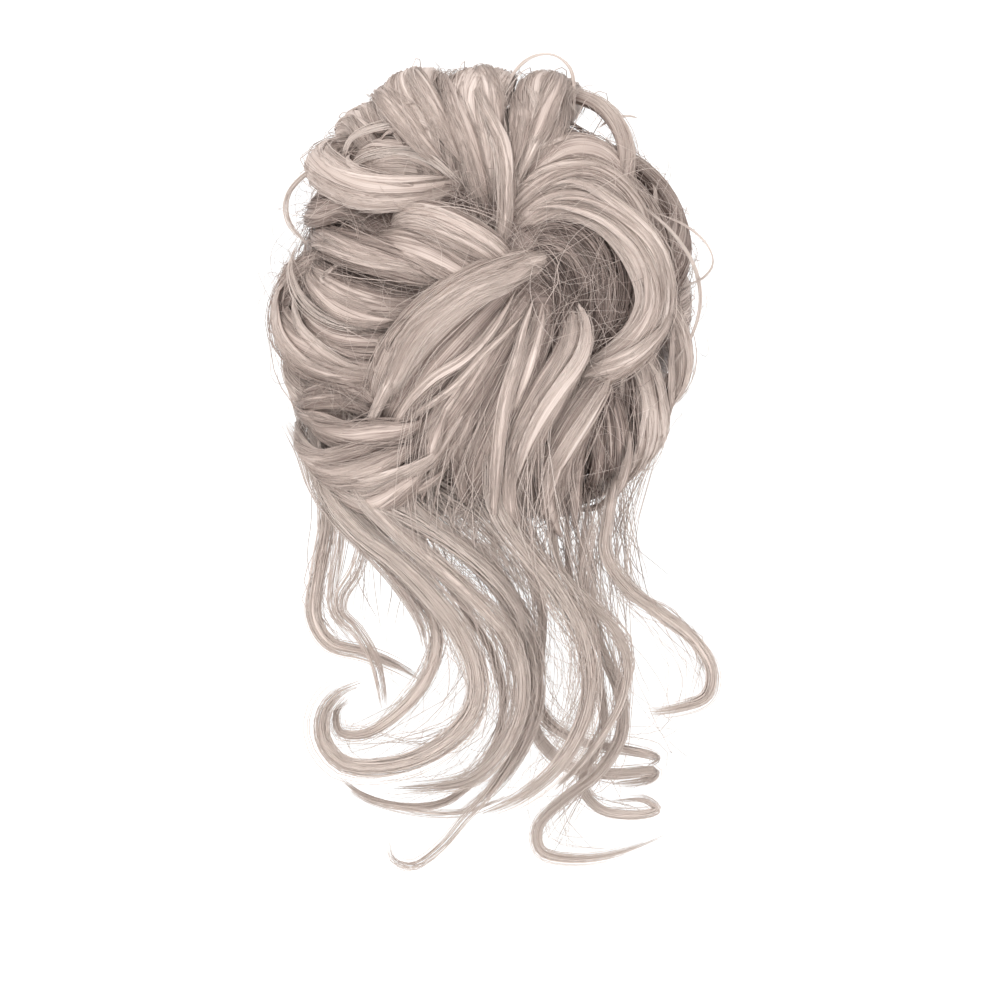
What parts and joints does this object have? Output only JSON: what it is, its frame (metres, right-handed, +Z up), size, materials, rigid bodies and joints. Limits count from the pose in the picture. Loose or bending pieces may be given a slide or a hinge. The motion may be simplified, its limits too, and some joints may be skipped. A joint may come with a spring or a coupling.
{
  "type": "top knot hairpiece",
  "caption": "Ready-made messy top knot of curled hair on an elastic band, with loose tendrils hanging below, pulled over the wearer's own bun",
  "frame": {"origin": "centre of the elastic band, where the piece is seated on the back of the wearer's crown", "axes": "+Z is up as worn, +X is to the right and -Y points away from the wearer, towards whoever looks at the knot from behind"},
  "size_m": [0.1601, 0.126, 0.288],
  "materials": {
    "hair": "ash beige synthetic hair fibre, soft satin sheen",
    "elastic": "matt braided elastic in the hair's colour"
  },
  "bodies": {
    "root": {"crown_corner": "hair", "crown_fold": "hair", "crown_left": "hair", "crown_middle": "hair", "crown_right": "hair", "crown_right_arc": "hair", "elastic_band": "elastic", "fan_left_edge": "hair", "fan_left_inner": "hair", "fan_middle": "hair", "fan_right": "hair", "far_lock_1": "hair", "far_lock_2": "hair", "far_lock_3": "hair", "far_lock_4": "hair", "far_lock_5": "hair", "far_lock_6": "hair", "far_lock_7": "hair", "far_lock_8": "hair", "inner_mass": "hair", "knot_band_lower": "hair", "knot_band_upper": "hair", "left_fold": "hair", "left_low_corner": "hair", "left_lower_sweep": "hair", "left_middle_sweep": "hair", "left_outer_curl": "hair", "left_under_sweep": "hair", "left_upper_loop": "hair", "lower_band": "hair", "lower_left_band": "hair", "ribbon_centre": "hair", "right_back_puff": "hair", "right_big_arc": "hair", "right_bottom_cup": "hair", "right_fan_middle": "hair", "right_fan_upper": "hair", "right_inner_fall": "hair", "right_low_sweep": "hair", "right_outer_strand": "hair", "tendril_back_curl": "hair", "tendril_back_sweep": "hair", "tendril_centre": "hair", "tendril_centre_left": "hair", "tendril_ear": "hair", "tendril_far_right": "hair", "tendril_hook_small": "hair", "tendril_hook_wide": "hair", "tendril_low_curl": "hair", "tendril_low_loop": "hair", "tendril_main": "hair", "tendril_right_bow": "hair", "tendril_under_hook": "hair", "top_branch": "hair", "top_drop": "hair"}
  },
  "joints": []
}
